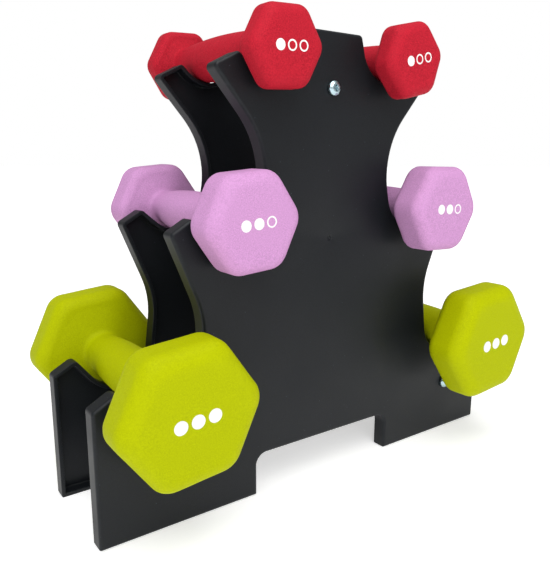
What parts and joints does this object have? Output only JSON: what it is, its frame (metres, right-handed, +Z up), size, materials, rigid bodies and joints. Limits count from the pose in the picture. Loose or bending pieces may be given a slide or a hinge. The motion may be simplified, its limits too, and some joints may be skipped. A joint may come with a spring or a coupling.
{
  "type": "dumbbell rack",
  "caption": "Three-tier stand of two hooked moulded side plates on cross bars, holding pairs of coated hexagonal hand weights across its open cradles.",
  "frame": {"origin": "middle of the rack's footprint, on the floor", "axes": "+Z up, +X to the right along the side plates, -Y towards the front plate"},
  "size_m": [0.3408, 0.1871, 0.3141],
  "materials": {
    "rack_plastic": "satin moulded black with a fine grain",
    "screw_zinc": "bright zinc plate",
    "core_iron": "as cast",
    "coat_red": "matte textured neoprene",
    "coat_lilac": "matte textured neoprene",
    "coat_lime": "matte smooth neoprene"
  },
  "bodies": {
    "rack": {"front_side_plate": "rack_plastic", "rear_side_plate": "rack_plastic", "top_cross_bar": "rack_plastic", "left_cross_bar": "rack_plastic", "right_cross_bar": "rack_plastic", "front_top_screw": "screw_zinc", "front_left_screw": "screw_zinc", "front_right_screw": "screw_zinc", "rear_top_screw": "screw_zinc", "rear_left_screw": "screw_zinc", "rear_right_screw": "screw_zinc"},
    "dumbbell_500g_left": {"dumbbell_500g_left_coat": "coat_red", "dumbbell_500g_left_core": "core_iron"},
    "dumbbell_500g_right": {"dumbbell_500g_right_coat": "coat_red", "dumbbell_500g_right_core": "core_iron"},
    "dumbbell_1kg_left": {"dumbbell_1kg_left_coat": "coat_lilac", "dumbbell_1kg_left_core": "core_iron"},
    "dumbbell_1kg_right": {"dumbbell_1kg_right_coat": "coat_lilac", "dumbbell_1kg_right_core": "core_iron"},
    "dumbbell_2kg_left": {"dumbbell_2kg_left_coat": "coat_lime", "dumbbell_2kg_left_core": "core_iron"},
    "dumbbell_2kg_right": {"dumbbell_2kg_right_coat": "coat_lime", "dumbbell_2kg_right_core": "core_iron"}
  },
  "joints": [
    {"name": "lift_off_500g_left", "type": "slide", "parent": "rack", "child": "dumbbell_500g_left", "axis": [-0.6428, 0, 0.766], "range_m": [0, 0.2]},
    {"name": "lift_off_500g_right", "type": "slide", "parent": "rack", "child": "dumbbell_500g_right", "axis": [0.6428, 0, 0.766], "range_m": [0, 0.2]},
    {"name": "lift_off_1kg_left", "type": "slide", "parent": "rack", "child": "dumbbell_1kg_left", "axis": [-0.6428, 0, 0.766], "range_m": [0, 0.2]},
    {"name": "lift_off_1kg_right", "type": "slide", "parent": "rack", "child": "dumbbell_1kg_right", "axis": [0.6428, 0, 0.766], "range_m": [0, 0.2]},
    {"name": "lift_off_2kg_left", "type": "slide", "parent": "rack", "child": "dumbbell_2kg_left", "axis": [-0.6428, 0, 0.766], "range_m": [0, 0.2]},
    {"name": "lift_off_2kg_right", "type": "slide", "parent": "rack", "child": "dumbbell_2kg_right", "axis": [0.6428, 0, 0.766], "range_m": [0, 0.2]}
  ]
}
